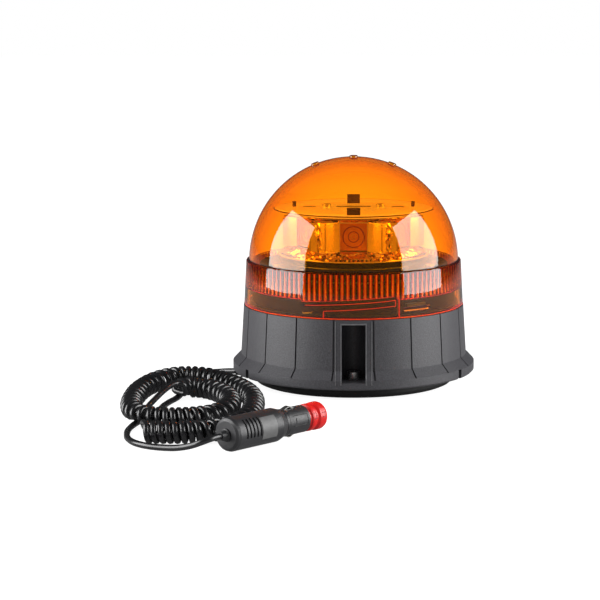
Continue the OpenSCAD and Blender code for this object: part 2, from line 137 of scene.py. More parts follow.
def tube(name, points, radius, material, body, closed=False):
    """A round bar along points in millimetres."""
    curve = bpy.data.curves.new(name, "CURVE")
    curve.dimensions = "3D"
    curve.bevel_depth = radius * MM
    curve.bevel_resolution = 2
    curve.use_fill_caps = not closed
    spline = curve.splines.new("POLY")
    spline.points.add(len(points) - 1)
    for point, place in zip(spline.points, points):
        point.co = (*(Vector(place) * MM), 1)
    spline.use_cyclic_u = closed
    spline.use_smooth = True
    curve.materials.append(material)
    piece = bpy.data.objects.new(name, curve)
    bpy.context.scene.collection.objects.link(piece)
    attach(piece, body)
    return piece


# ---------------------------------------------------------------- materials


def new_material(name):
    material = bpy.data.materials.new(name)
    material.use_nodes = True
    nodes = material.node_tree.nodes
    return material, nodes, material.node_tree.links, nodes["Principled BSDF"]


def noise(nodes, links, size, detail=3.0):
    """Noise with features of about that size in millimetres, in the piece's own space."""
    place = nodes.new("ShaderNodeTexCoord")
    texture = nodes.new("ShaderNodeTexNoise")
    texture.inputs["Scale"].default_value = 1 / (size * MM)
    texture.inputs["Detail"].default_value = detail
    links.new(place.outputs["Object"], texture.inputs["Vector"])
    return texture.outputs["Fac"]


def spread(nodes, links, value, low, high):
    """Maps the middle of a noise to the range from low to high."""
    ramp = nodes.new("ShaderNodeMapRange")
    ramp.inputs["From Min"].default_value = 0.3
    ramp.inputs["From Max"].default_value = 0.7
    ramp.inputs["To Min"].default_value = low
    ramp.inputs["To Max"].default_value = high
    links.new(value, ramp.inputs["Value"])
    return ramp.outputs["Result"]


def finish_of(name, colour, rough, metallic=0.0, vary=0.12, patch=9.0, grain=0.4, bump=0.15,
              specular=0.5, coat=0.0, rough_vary=0.06):
    """A moulded, painted or metal finish: mottled colour, uneven gloss and a fine raised grain."""
    material, nodes, links, shader = new_material(name)
    shader.inputs["Metallic"].default_value = metallic
    shader.inputs["Specular IOR Level"].default_value = specular
    shader.inputs["Coat Weight"].default_value = coat
    shader.inputs["Coat Roughness"].default_value = COAT_ROUGH
    mix = nodes.new("ShaderNodeMix")
    mix.data_type = "RGBA"
    mix.inputs["A"].default_value = (*[c * (1 - vary) for c in colour], 1)
    mix.inputs["B"].default_value = (*[min(1, c * (1 + vary)) for c in colour], 1)
    links.new(spread(nodes, links, noise(nodes, links, patch), 0, 1), mix.inputs["Factor"])
    links.new(mix.outputs["Result"], shader.inputs["Base Color"])
    links.new(spread(nodes, links, noise(nodes, links, patch / 3), rough - rough_vary, rough + rough_vary),
              shader.inputs["Roughness"])
    raised = nodes.new("ShaderNodeBump")
    raised.inputs["Strength"].default_value = bump
    raised.inputs["Distance"].default_value = GRAIN_HEIGHT
    links.new(noise(nodes, links, grain, 2), raised.inputs["Height"])
    links.new(raised.outputs["Normal"], shader.inputs["Normal"])
    return material


def painted_glow(material, colour, strength):
    """Gives a material a painted glow: an even emission that stands in for light the plastic carries to an
    edge, though the part is no lamp.
    """
    shader = material.node_tree.nodes["Principled BSDF"]
    shader.inputs["Emission Color"].default_value = (*colour, 1)
    shader.inputs["Emission Strength"].default_value = strength
    return material


def clear_plastic(name, tint, rough, absorb=None, density=0.0, ior=1.49, ripple=0.02):
    """A clear moulding. What passes through is tinted at the faces and absorbed on the way."""
    material, nodes, links, shader = new_material(name)
    shader.inputs["Base Color"].default_value = (*tint, 1)
    shader.inputs["Transmission Weight"].default_value = 1
    shader.inputs["IOR"].default_value = ior
    shader.inputs["Roughness"].default_value = rough
    raised = nodes.new("ShaderNodeBump")
    raised.inputs["Strength"].default_value = ripple
    raised.inputs["Distance"].default_value = RIPPLE_HEIGHT
    links.new(noise(nodes, links, RIPPLE_SIZE, 1), raised.inputs["Height"])
    links.new(raised.outputs["Normal"], shader.inputs["Normal"])
    if absorb:
        inside = nodes.new("ShaderNodeVolumeAbsorption")
        inside.inputs["Color"].default_value = (*absorb, 1)
        inside.inputs["Density"].default_value = density
        links.new(inside.outputs["Volume"], nodes["Material Output"].inputs["Volume"])
    return material


def amber():
    """Amber acrylic, a little redder where it is seen edge on."""
    face_tint, edge_tint = (1, 0.8, 0.15), (1, 0.42, 0.03)
    material = clear_plastic("lens_amber", face_tint, 0.015, (0.995, 0.667, 0.0), 450.0)
    nodes, links = material.node_tree.nodes, material.node_tree.links
    edge = nodes.new("ShaderNodeLayerWeight")
    edge.inputs["Blend"].default_value = 0.35
    mix = nodes.new("ShaderNodeMix")
    mix.data_type = "RGBA"
    mix.inputs["A"].default_value = (*face_tint, 1)
    mix.inputs["B"].default_value = (*edge_tint, 1)
    links.new(edge.outputs["Facing"], mix.inputs["Factor"])
    links.new(mix.outputs["Result"], nodes["Principled BSDF"].inputs["Base Color"])
    return material


def cloudy_disc_with_painted_glow():
    """The top disc: clear plastic that is a little cloudy, with a painted glow in the lens's colour that
    stands in for the light falling on it.
    """
    material = clear_plastic("painted_glow_disc_clear", (1.0, 0.85, 0.6), 0.05, ior=1.05, ripple=0.005)
    material.node_tree.nodes["Principled BSDF"].inputs["Transmission Weight"].default_value = 0.7
    # Painted glow: an orange emission on the disc.
    return painted_glow(material, (1, 0.62, 0.3), 0.32)


MATERIALS = {
    "base_plastic": finish_of("base_plastic", (0.042, 0.041, 0.046), 0.46, grain=0.7, bump=0.8,
                              vary=0.3, patch=0.9),
    "deck_black": finish_of("deck_black", (0.012, 0.012, 0.012), 0.6, specular=0.0),
    "rubber_black": finish_of("rubber_black", (0.008, 0.008, 0.008), 0.6, patch=5, grain=0.8, bump=0.25,
                              specular=0.35),
    "steel_zinc": finish_of("steel_zinc", (0.62, 0.62, 0.6), 0.3, metallic=1, patch=4),
    "steel_black": finish_of("steel_black", (0.035, 0.035, 0.037), 0.4, metallic=0.4, patch=8),
    "ferrite": finish_of("ferrite", (0.05, 0.05, 0.055), 0.55, metallic=0.3, patch=3, bump=0.4),
    "pcb_green": finish_of("pcb_green", (0.01, 0.09, 0.03), 0.35, patch=2.5, vary=0.35, coat=0.4),
    "pcb_white": finish_of("pcb_white", (0.75, 0.75, 0.72), 0.4, patch=3),
    "component_dark": finish_of("component_dark", (0.03, 0.03, 0.035), 0.45, patch=2),
    "terminal_green": finish_of("terminal_green", (0.02, 0.2, 0.08), 0.4, patch=3),
    "wire_red": finish_of("wire_red", (0.35, 0.02, 0.015), 0.35, patch=6),
    "aluminium_plain": finish_of("aluminium_plain", (0.7, 0.7, 0.7), 0.32, metallic=1, patch=2,
                                 grain=0.25, bump=0.3),
    "mirror_plastic": finish_of("mirror_plastic", (0.9, 0.72, 0.5), 0.1, metallic=1, patch=3,
                                vary=0.05, grain=1.5, bump=0.06, rough_vary=0.04),
    "led_yellow": finish_of("led_phosphor", (0.85, 0.62, 0.05), 0.5, patch=1.5, grain=0.2),
    "optic_clear": finish_of("optic_tinted", (1.0, 0.33, 0.06), 0.2, patch=5, bump=0.03),
    "disc_white": cloudy_disc_with_painted_glow(),
    "clip_brown": finish_of("clip_brown", (0.09, 0.045, 0.02), 0.5, patch=2.5, vary=0.3, grain=0.6,
                            bump=0.5),
    "lens_amber": amber(),
    "plug_black": finish_of("plug_black", (0.02, 0.02, 0.022), 0.42, grain=0.35, bump=0.35, patch=12),
    "plug_grey": finish_of("plug_grey", (0.1, 0.1, 0.1), 0.5, grain=0.4, bump=0.3, patch=4),
    "plug_red": finish_of("plug_red", (0.62, 0.008, 0.007), 0.34, patch=6, vary=0.08, grain=0.5, bump=0.08),
    "contact_metal": finish_of("contact_metal", (0.75, 0.75, 0.72), 0.2, metallic=1, patch=2),
    "fuse_glass": clear_plastic("fuse_glass", (0.95, 0.97, 0.98), 0.01, ior=1.5),
    "cord_black": finish_of("cord_black", (0.009, 0.009, 0.01), 0.24, patch=18, vary=0.3, grain=1.2,
                            bump=0.05, specular=0.6),
}


def finish_cad_nodes():
    """Each CAD node's own slots take the finish that the record names for that node, apart from
    the reflector's base, which is as dark as the deck under it."""
    for part in frame["record"]["subparts"]:
        node = frame["nodes"][part["node"]]
        for place in node.material_slots:
            place.material = MATERIALS[part["material_slot"]]
    for place in frame["nodes"]["reflector_base"].material_slots:
        place.material = MATERIALS["deck_black"]


# ---------------------------------------------------------------- camera, light and floor

CAMERA_AT = (0, -1.6875, 0.3246)
CAMERA_PITCH = 9.01
CAMERA_LENS = 145.36
CAMERA_SHIFT = -0.0893
SENSOR = 36.0

# Brightness of the white round the beacon. "mirrored" is off an outside, off the inside of the
# lens wall, and off what is in the lens.
WORLD_WHITE = dict(seen=1.0, through=1.34, mirrored=(0.05, 1.0, 0.55), lighting=0.3)
FLOOR_WHITE = dict(seen=0.92, through=1.24, mirrored=(0.05, 0.8, 0.4), lighting=0.12)
FACES_TO_INSIDE = 3

SOFTBOX_AZIMUTH = 78
SOFTBOX_DISTANCE = 1.2
SOFTBOX_SIDE = 1.12
SOFTBOX_POWER = 30
FLOOR_HALF = 4.0


def set_camera():
    """A long lens at the front, a little above the beacon, shifted to take in the cord."""
    data = bpy.data.cameras.new("camera")
    data.sensor_width = SENSOR
    data.lens = CAMERA_LENS
    data.shift_x = CAMERA_SHIFT
    data.clip_start = 0.05
    camera = bpy.data.objects.new("camera", data)
    camera.location = CAMERA_AT
    camera.rotation_euler = (math.radians(90 - CAMERA_PITCH), 0, 0)
    bpy.context.scene.collection.objects.link(camera)
    bpy.context.scene.camera = camera


def by_ray(nodes, links, seen, through, mirrored, lighting):
    """A value for what is seen straight, through clear plastic, in a reflection, or as light."""
    ray = nodes.new("ShaderNodeLightPath")

    def choose(test, yes, no):
        mix = nodes.new("ShaderNodeMix")
        for socket, value in (("Factor", test), ("A", no), ("B", yes)):
            if isinstance(value, float):
                mix.inputs[socket].default_value = value
            else:
                links.new(value, mix.inputs[socket])
        return mix.outputs["Result"]

    deep = nodes.new("ShaderNodeMath")
    deep.operation = "GREATER_THAN"
    deep.inputs[1].default_value = FACES_TO_INSIDE
    links.new(ray.outputs["Transmission Depth"], deep.inputs[0])
    outside, in_wall, inside = mirrored
    value = choose(deep.outputs["Value"], inside, in_wall)
    value = choose(ray.outputs["Transmission Depth"], value, outside)
    value = choose(ray.outputs["Glossy Depth"], value, through)
    value = choose(ray.outputs["Diffuse Depth"], lighting, value)
    return choose(ray.outputs["Is Camera Ray"], seen, value)


def set_world():
    """White where it is seen straight or through clear plastic, and dimmer as a light."""
    world = bpy.data.worlds.new("studio")
    world.use_nodes = True
    bpy.context.scene.world = world
    nodes, links = world.node_tree.nodes, world.node_tree.links
    back = nodes["Background"]
    back.inputs["Color"].default_value = (1, 1, 1, 1)
    links.new(by_ray(nodes, links, **WORLD_WHITE), back.inputs["Strength"])
    bpy.context.scene.view_settings.view_transform = "Standard"


def softbox(name, azimuth):
    """An upright square panel that stands on the floor and faces the beacon."""
    data = bpy.data.lights.new(name, "AREA")
    data.shape = "SQUARE"
    data.size = SOFTBOX_SIDE
    data.energy = SOFTBOX_POWER
    light = bpy.data.objects.new(name, data)
    light.location = polar(azimuth, SOFTBOX_DISTANCE, SOFTBOX_SIDE / 2)
    light.rotation_euler = (math.radians(90), 0, math.radians(azimuth))
    bpy.context.scene.collection.objects.link(light)


def set_floor():
    """Pale floor: mostly its own white, and a little of the light that falls on it."""
    mesh = bpy.data.meshes.new("floor")
    corners = ((-1, -1), (1, -1), (1, 1), (-1, 1))
    mesh.from_pydata([(FLOOR_HALF * x, FLOOR_HALF * y, 0) for x, y in corners], [], [(0, 1, 2, 3)])
    floor = bpy.data.objects.new("floor", mesh)
    bpy.context.scene.collection.objects.link(floor)
    material, nodes, links, shader = new_material("floor_white")
    shader.inputs["Base Color"].default_value = (0.3, 0.3, 0.3, 1)
    shader.inputs["Roughness"].default_value = 0.9
    shader.inputs["Specular IOR Level"].default_value = 0
    shader.inputs["Emission Color"].default_value = (1, 1, 1, 1)
    links.new(by_ray(nodes, links, **FLOOR_WHITE), shader.inputs["Emission Strength"])
    mesh.materials.append(material)


# ---------------------------------------------------------------- cord

CABLE_R = 2.05
CURL_R = 7.5
FLOOR_GAP = 0.05
CABLE_Z = CABLE_R + FLOOR_GAP
CURL_Z = CURL_R + FLOOR_GAP
TURN_PITCH = 4.4
TURN_STRETCH = 5.0
POINTS_A_TURN = 16
ROUTE_STEP = 3
LIFT_REACH = 4 * CABLE_R
EASE_REACH = 3
EASE_ROUNDS = 3

# From the gland, round behind the curl and under it, up to the top of the curl's outer end.
LEAD_ROUTE = [
    (-83.7, 7.3, 4.8), (-91, 11, 4), (-98, 15, 2.8), (-106, 17, CABLE_Z), (-114, 13, CABLE_Z),
    (-120, 4, CABLE_Z), (-123, -8, CABLE_Z), (-123, -22, CABLE_Z), (-121, -36, CABLE_Z),
    (-119, -50, CABLE_Z), (-118, -64, CABLE_Z), (-120, -78, CABLE_Z), (-124, -92, CABLE_Z),
    (-127, -107, CABLE_Z), (-128, -123, CABLE_Z), (-128, -139, CABLE_Z), (-128, -155, CABLE_Z),
    (-129, -170, CABLE_Z), (-130.5, -184, 3.2), (-131.5, -195, 7.6), (-131.5, -204, 11.8),
    (-129.5, -211, 13),
]

# From the top of the curl's inner end, under the curl's front, and round it to the plug.
TAIL_ROUTE = [
    (-118.5, -80, 13), (-121, -82.5, 12.9), (-124.5, -87.5, 11.7), (-129, -96, 9),
    (-133, -104.5, 6), (-136, -113, 3.6), (-137, -124, CABLE_Z), (-137, -137, CABLE_Z),
    (-138, -151, CABLE_Z), (-141, -164, CABLE_Z), (-143, -178, CABLE_Z), (-143, -192, CABLE_Z),
    (-141, -206, CABLE_Z), (-136, -218, CABLE_Z), (-128, -227, CABLE_Z), (-118, -233, 2.3),
    (-108, -239, 3.4), (-99, -244, 5.8), (-93, -247, 8.4), (-88, -246.5, 10.2),
    (-84, -243.1, 10.85), (-81.4, -240.2, 10.85),
]

# Plan of the curled stretch's centre line, from its outer end to its inner end.
CURL_PLAN = [
    (-129, -212), (-116, -213), (-103, -212.5), (-91, -209), (-81, -200), (-73, -186),
    (-68, -170), (-66, -152), (-65.5, -134), (-66, -116), (-68.5, -98), (-73, -81), (-79, -66),
    (-86, -52.5), (-95, -40), (-105, -31), (-116, -27.5), (-126, -32), (-134, -43), (-140, -58),
    (-144, -76), (-146, -95), (-146.5, -114), (-145.5, -132), (-143, -147), (-138, -159.5),
    (-129, -168), (-117, -171), (-105, -169.5), (-94, -164), (-86, -153.5), (-82, -139),
    (-81, -123), (-82.5, -107), (-87, -92), (-94, -78), (-101.5, -69), (-110, -66.5),
    (-116, -71), (-118.5, -80),
]


def along(path, distances):
    """The place and the direction on the path at each distance, which only grow."""
    found, i, walked = [], 0, 0.0
    for wanted in distances:
        while i < len(path) - 2 and walked + (path[i + 1] - path[i]).length < wanted:
            walked += (path[i + 1] - path[i]).length
            i += 1
        step = path[i + 1] - path[i]
        found.append((path[i] + step.normalized() * (wanted - walked), step.normalized()))
    return found


def helix(plan, under):
    """The curled stretch: turns side by side round the plan, lifted where a straight run lies under."""
    centre = smooth_path([(x, y, CURL_Z) for x, y in plan], 1.5)
    # The turns open a little where the curl runs front to back.
    pitches = [TURN_PITCH + TURN_STRETCH * (b - a).normalized().y ** 2 for a, b in zip(centre, centre[1:])]
    turns_at = [0.0]
    for pitch, a, b in zip(pitches, centre, centre[1:]):
        turns_at.append(turns_at[-1] + (b - a).length / pitch)
    turns = round(turns_at[-1])
    count = turns * POINTS_A_TURN
    distances, walked, i = [], 0.0, 0
    for k in range(count + 1):
        wanted = turns_at[-1] * k / count
        while i < len(pitches) - 1 and turns_at[i + 1] < wanted:
            walked += (centre[i + 1] - centre[i]).length
            i += 1
        distances.append(walked + (wanted - turns_at[i]) * pitches[i])
    coil_r = CURL_R - CABLE_R
    points, lifted = [], set()
    for i, (place, direction) in enumerate(along(centre, distances)):
        angle = math.pi / 2 - 2 * math.pi * turns * i / count
        sideways = direction.cross(Vector((0, 0, 1)))
        point = place + coil_r * (math.cos(angle) * sideways + Vector((0, 0, math.sin(angle))))
        for low in under:
            apart = math.hypot(point.x - low.x, point.y - low.y) / LIFT_REACH
            height = low.z + 2 * CABLE_R * math.cos(math.pi / 2 * min(apart, 1))
            if apart < 1 and point.z < height:
                point.z = height
                lifted.update(range(i - EASE_REACH, i + EASE_REACH + 1))
        points.append(point)
    # The lifted turns are eased, so that no corner is left in them.
    for _ in range(EASE_ROUNDS):
        before = [p.copy() for p in points]
        for i in lifted:
            if 0 < i < count:
                points[i] = (before[i - 1] + 2 * before[i] + before[i + 1]) / 4
    return points


def add_cord():
    """The cable as one tube: lead, curl and tail."""
    lead, tail = smooth_path(LEAD_ROUTE, ROUTE_STEP), smooth_path(TAIL_ROUTE, ROUTE_STEP)
    low = [p for p in smooth_path(LEAD_ROUTE, 1) + smooth_path(TAIL_ROUTE, 1) if p.z < 2 * CABLE_R]
    points = lead[:-1] + helix(CURL_PLAN, low) + tail[1:]
    piece = tube("cord", points, CABLE_R, MATERIALS["cord_black"], "beacon")
    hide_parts("cord_lead", "cord_curl", "cord_tail")
    return piece, points


# ---------------------------------------------------------------- lens

DOME_Z = 84.9
DOME_R = 73.5
DOME_IN = 71.0
SEAM_Z = 86.7
FLUTES = 120
FLUTE_R = 73.9
FLUTE_DEEP = 0.3
FLUTE_HALF = 1.05
FLUTE_TOP = 85.4
SKIRT_IN = 74.5
SKIRT_FOOT = 55.6
COARSE = 240
FINE_A_FLUTE = 10
SKIRT_ROWS = 18
DOME_ROWS = 30
BAND_OUTSIDE = [(76.7, SKIRT_FOOT), (77.0, SKIRT_FOOT + 0.3), (76.2, 71), (75.4, 85.9), (75.2, 86.4),
                (74.8, 86.6), (73.9, 86.7)]

# One bayonet ramp, in degrees from its middle; there are three round the skirt.
RAMP_APART = 120
RAMP_FROM = -28.0
RAMP_TO = 22.2
RAMP_HEIGHT = 66.0
RAMP_RISE = 0.074
RAMP_DEEP = 4.2
RAMP_WIDENS = 0.018
RAMP_PROUD = 0.42
UNDER_LIP = 0.4
UNDER_LIP_FROM = -15.6
STOP_RIB = (23.4, 24.8)
FOOT_RIB = (-15.9, -15.1)
FOOT_RIB_TOP = 61.5
BAYONET_AT = 35
BAYONET_HALF = 8
BAYONET_HEIGHTS = (59.9, 62.1)
BAYONET_R = 73.1
LIP_PROUD = 0.25
FLUTES_FOOT = 68.4
PIP_LEANS = (-21.5, 0, 21.5)


def from_ramp(azimuth):
    """Degrees from the middle of the nearest ramp."""
    return (azimuth + RAMP_APART / 2) % RAMP_APART - RAMP_APART / 2


def ramp_height(azimuth):
    """Height of a bayonet ramp's upper edge, or None off the ramps."""
    a = from_ramp(azimuth)
    if not RAMP_FROM <= a <= RAMP_TO:
        return None
    return RAMP_HEIGHT + RAMP_RISE * a


def flute_foot(azimuth):
    """Height at which the flutes start: a little above a ramp."""
    top = ramp_height(azimuth)
    return FLUTES_FOOT if top is None else top + 3.0


def flute_columns():
    """(azimuth, radius) of each column of the fluted ring: flats, and shallow round ribs."""
    step = 360 / FLUTES
    half = math.degrees(FLUTE_HALF / FLUTE_R)
    columns = []
    for i in range(FLUTES):
        columns.append(((i - 0.5) * step, FLUTE_R))
        for k in range(FINE_A_FLUTE - 1):
            t = math.pi * k / (FINE_A_FLUTE - 2)
            columns.append((i * step - half * math.cos(t), FLUTE_R - FLUTE_DEEP * math.sin(t)))
    return columns


def skirt_radius(azimuth, height):
    """Inside of the skirt: thicker on the ramps, on the upright stop and on the bayonet ribs."""
    a = from_ramp(azimuth)
    top = ramp_height(azimuth)
    if abs(a - BAYONET_AT) < BAYONET_HALF and BAYONET_HEIGHTS[0] < height < BAYONET_HEIGHTS[1]:
        return BAYONET_R
    radius = SKIRT_IN
    if top is not None:
        under = top - RAMP_DEEP - RAMP_WIDENS * (RAMP_TO - a)
        if under < height < top or under - UNDER_LIP < height < under and a > UNDER_LIP_FROM:
            radius -= RAMP_PROUD
    if STOP_RIB[0] < a < STOP_RIB[1] or FOOT_RIB[0] < a < FOOT_RIB[1] and height < FOOT_RIB_TOP:
        radius -= RAMP_PROUD
    if height < SKIRT_FOOT + 1:
        radius -= LIP_PROUD
    return radius


def bridge(coarse, fine, ratio):
    """Triangles between a ring of few points and a ring of ratio times as many."""
    count, faces = len(coarse), []
    for i in range(count):
        a, b = coarse[i], coarse[(i + 1) % count]
        span = [fine[(i * ratio + k) % len(fine)] for k in range(ratio + 1)]
        middle = ratio // 2
        for k in range(middle):
            faces.append((a, span[k], span[k + 1]))
        faces.append((a, span[middle], b))
        for k in range(middle, ratio):
            faces.append((b, span[k], span[k + 1]))
    return faces


def add_lens():
    """One moulding: dome, band and skirt outside, then the same inside with its flutes and ramps."""
    points, faces = [], []

    def ring(places):
        points.extend(places)
        return list(range(len(points) - len(places), len(points)))

    def join(a, b):
        count = len(a)
        faces.extend((a[j], a[(j + 1) % count], b[(j + 1) % count], b[j]) for j in range(count))

    def coarse_ring(radius, height):
        return ring([polar(360 * j / COARSE - 1.5, radius, height) for j in range(COARSE)])

    def dome_rings(radius, start_z):
        start = math.asin((start_z - DOME_Z) / radius)
        made = []
        for i in range(DOME_ROWS):
            angle = start + (math.pi / 2 - start) * i / DOME_ROWS
            made.append(coarse_ring(radius * math.cos(angle), DOME_Z + radius * math.sin(angle)))
        top = len(points)
        points.append(polar(0, 0, DOME_Z + radius))
        for a, b in zip(made, made[1:]):
            join(a, b)
        last = made[-1]
        faces.extend((last[j], last[(j + 1) % COARSE], top) for j in range(COARSE))
        return made[0]

    outside = [coarse_ring(r, z) for r, z in BAND_OUTSIDE]
    for a, b in zip(outside, outside[1:]):
        join(a, b)
    join(outside[-1], dome_rings(DOME_R, SEAM_Z + 0.4))

    columns = flute_columns()
    skirt = []
    for i in range(SKIRT_ROWS + 1):
        row = []
        for azimuth, _ in columns:
            height = SKIRT_FOOT + (flute_foot(azimuth) - 0.5 - SKIRT_FOOT) * i / SKIRT_ROWS
            row.append(polar(azimuth, skirt_radius(azimuth, height), height))
        skirt.append(ring(row))
    skirt.append(ring([polar(a, FLUTE_R, flute_foot(a)) for a, _ in columns]))
    skirt.append(ring([polar(a, r, flute_foot(a) + 0.3) for a, r in columns]))
    skirt.append(ring([polar(a, r, FLUTE_TOP) for a, r in columns]))
    skirt.append(ring([polar(a, FLUTE_R, FLUTE_TOP + 0.3) for a, _ in columns]))
    for a, b in zip(skirt, skirt[1:]):
        join(a, b)
    ratio = len(columns) // COARSE
    faces.extend(bridge(outside[0], skirt[0], ratio))
    inner = dome_rings(DOME_IN, DOME_Z + 1.6)
    faces.extend(bridge(inner, skirt[-1], ratio))
    lens = mesh_piece("lens_moulding", points, faces, MATERIALS["lens_amber"], "lens", 40)
    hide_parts("lens")
    for index, lean in enumerate(PIP_LEANS):
        add_pip(index, lean)


def add_flute_bars():
    """The flutes as they show from outside: red bars with a painted glow, and a painted highlight as a
    bright line up each, dark between.
    """
    # Painted light: the red bars glow a little by emission, and the bright lines are painted highlights
    # that shine by emission.
    red = painted_glow(finish_of("painted_glow_flute_bar", (0.6, 0.045, 0.006), 0.4, patch=4), (1, 0.06, 0.006), 0.08)
    bright = painted_glow(finish_of("painted_highlight_flute_line", (1.0, 0.42, 0.04), 0.4, patch=4), (1, 0.22, 0.015), 0.3)
    for name, half, back, front, material in (("lens_flute_bars", 0.9, 73.1, 73.35, red),
                                              ("lens_flute_lines", 0.22, 73.35, 73.5, bright)):
        points, faces = [], []
        reach = math.degrees(half / front)
        for i in range(FLUTES):
            middle, base = 360 / FLUTES * i, len(points)
            for z in (flute_foot(middle), FLUTE_TOP):
                for side, r in ((-1, front), (1, front), (1, back), (-1, back)):
                    points.append(polar(middle + side * reach, r, z))
            faces += capped_faces(2, 4, base)
        mesh_piece(name, points, faces, material, "lens")


def add_pip(index, lean):
    """Raised dot on the dome, with a rounded rim."""
    profile = [(2.9, -0.4), (2.9, 0.7), (2.5, 1.05)]
    count = 32
    up = Vector((math.sin(math.radians(lean)), 0, math.cos(math.radians(lean))))
    across = Vector((up.z, 0, -up.x))
    back = up.cross(across)
    foot = Vector((0, 0, DOME_Z)) + up * DOME_R
    points = []
    for r, h in profile:
        for j in range(count):
            a = 2 * math.pi * j / count
            points.append(foot + up * h + r * (math.cos(a) * across + math.sin(a) * back))
    mesh_piece(f"lens_dot_{index + 1}", points, capped_faces(len(profile), count),
               MATERIALS["lens_amber"], "lens", 50)


def add_ramp_edges():
    """The edges of the bayonet ramps moulded inside the skirt, of the stop ribs and of the skirt's foot,
    drawn as bright lines with a painted glow.
    """
    # Painted glow: these edge lines shine by emission, in place of light caught in the moulded edges.
    material = painted_glow(finish_of("painted_glow_ramp_edge", (1.0, 0.07, 0.01), 0.3, patch=4), (1, 0.05, 0.006), 0.3)
    inside = SKIRT_IN - LIP_PROUD
    stop_top = 67.6
    for k in range(3):
        middle = RAMP_APART * k
        upper = [polar(middle + a, inside, ramp_height(a)) for a in range(-26, 23, 2)]
        upper.append(polar(middle + RAMP_TO, inside, stop_top))
        stop = [polar(middle + RAMP_TO, inside, stop_top - 0.7 * i) for i in range(1, 7)]
        lower = [polar(middle + a, inside, 60.9 + 0.08 * (a + 14)) for a in range(22, -15, -2)]
        corner = [polar(middle - 15 - 0.8 * math.sin(t), inside, 59.7 + 1.1 * math.cos(t))
                  for t in (0.4, 0.9, 1.4)]
        foot = [polar(middle - 15.8, inside, z) for z in (58.5, 57, 56.2)]
        tube(f"lens_ramp_edge_{k + 1}", upper + stop + lower + corner + foot, 0.23, material,
             "lens")
        tube(f"lens_stop_rib_{k + 1}", [polar(middle + 24.2, inside, z) for z in (56.2, 61, 66, 71)],
             0.35, material, "lens")
    tube("lens_foot_edge", [polar(a, 76.0, SKIRT_FOOT + 0.35) for a in range(0, 360, 2)], 0.3,
         material, "lens", closed=True)


# ---------------------------------------------------------------- base details

POCKETS = 3
POCKET_HALF = 8.0
POCKET_TOP = 52.0
RIM_TOP = 15.0
FLARE_TOP = 20.8
RIM_R = 85.0
FLARE_TOP_R = 79.4
SKIRT_TAPER = 2.1 / 34.4
BEHIND_FACE = 0.6
STRIP_FOOT = 12.0


def skirt_face(height):
    """Outside radius of the base at a height."""
    if height >= FLARE_TOP:
        return FLARE_TOP_R - (height - FLARE_TOP) * SKIRT_TAPER
    return RIM_R - max(0.0, height - RIM_TOP) * (RIM_R - FLARE_TOP_R) / (FLARE_TOP - RIM_TOP)


def on_skirt(azimuth, x, height, proud):
    """A point proud of the skirt's face, at a distance x to one side of an azimuth."""
    return turned(azimuth, x, -math.sqrt(skirt_face(height) ** 2 - x * x) - proud, height)


def upright_strip(name, azimuth, across, width, top, proud, material):
    """A thin rib that follows the skirt and its flare, at a distance to one side of an azimuth."""
    heights = [top, 44, 32, FLARE_TOP, 18, RIM_TOP + 0.3, STRIP_FOOT]
    front_share = 0.55
    points = []
    for deep, share in ((proud, front_share), (-BEHIND_FACE, 1)):
        for shift in (-width / 2, width / 2):
            points += [on_skirt(azimuth, across + shift * share, height, deep) for height in heights]
    n = len(heights)
    a, b, c, d = 0, n, 2 * n, 3 * n
    faces = []
    for i in range(n - 1):
        for p, q in ((a, b), (b, d), (d, c), (c, a)):
            faces.append((p + i, q + i, q + i + 1, p + i + 1))
    faces += [(a, b, d, c), (a + n - 1, c + n - 1, d + n - 1, b + n - 1)]
    return mesh_piece(name, points, faces, material, "beacon")


def add_collar_sleeve():
    """A dark, dull sleeve just outside the collar: painted shade, which makes the collar seen through the
    lens darker than its own plastic.
    """
    # Painted shade: a dark red-brown with no gloss, laid over the collar.
    dull = finish_of("painted_shade_collar", (0.02, 0.005, 0.003), 0.9, patch=6, specular=0)
    lathe("collar_sleeve", [(71.62, 57.6), (71.8, 57.6), (71.8, 79), (71.62, 79)], 240, dull,
          "beacon")


def add_base_details():
    """A raised frame round each bolt pocket, with a ridge on each side of it, in a lighter grey: a painted
    highlight along the raised edges.
    """
    # Painted highlight: the frames and ridges are lighter than the base plastic, as edges that catch the
    # light.
    edge = finish_of("painted_highlight_edge", (0.11, 0.11, 0.115), 0.34, patch=3, vary=0.2, grain=0.6, bump=0.3)
    frame_width, frame_proud = 0.9, 0.35
    half = POCKET_HALF + frame_width
    bar = [(share * half, frame_proud) for share in (-1, -0.5, 0, 0.5, 1)]
    bar += [(share * half, -BEHIND_FACE) for share in (1, 0, -1)]
    for k in range(POCKETS):
        azimuth = 360 / POCKETS * k
        for side, word in ((-1, "left"), (1, "right")):
            upright_strip(f"pocket_frame_{word}_{k + 1}", azimuth, side * (POCKET_HALF + 0.5),
                          frame_width, POCKET_TOP + 1.0, frame_proud, edge)
            upright_strip(f"pocket_ridge_{word}_{k + 1}", azimuth, side * 12.3, 0.8, 54.4, 0.3, edge)
        foot = POCKET_TOP + 0.1
        points = [on_skirt(azimuth, x, z, deep) for z in (foot, foot + frame_width) for x, deep in bar]
        mesh_piece(f"pocket_frame_top_{k + 1}", points, capped_faces(2, len(bar)), edge, "beacon")


# ---------------------------------------------------------------- light module

CELLS = 6
CELL = 360 / CELLS
WALL_LOW = 96.7
WALL_HIGH = 116.7
WALL_MIDDLE = (WALL_LOW + WALL_HIGH) / 2
OPTIC_FACE = 37.58
STAR_FACE = 47.4
BEAD_R = 0.95
BEAD_APART = 3.3
BEAD_ROW_R = 51.3
BEAD_ROW_Z = 92.2
DISC_R = 55.8
DISC_TOP = 123.4


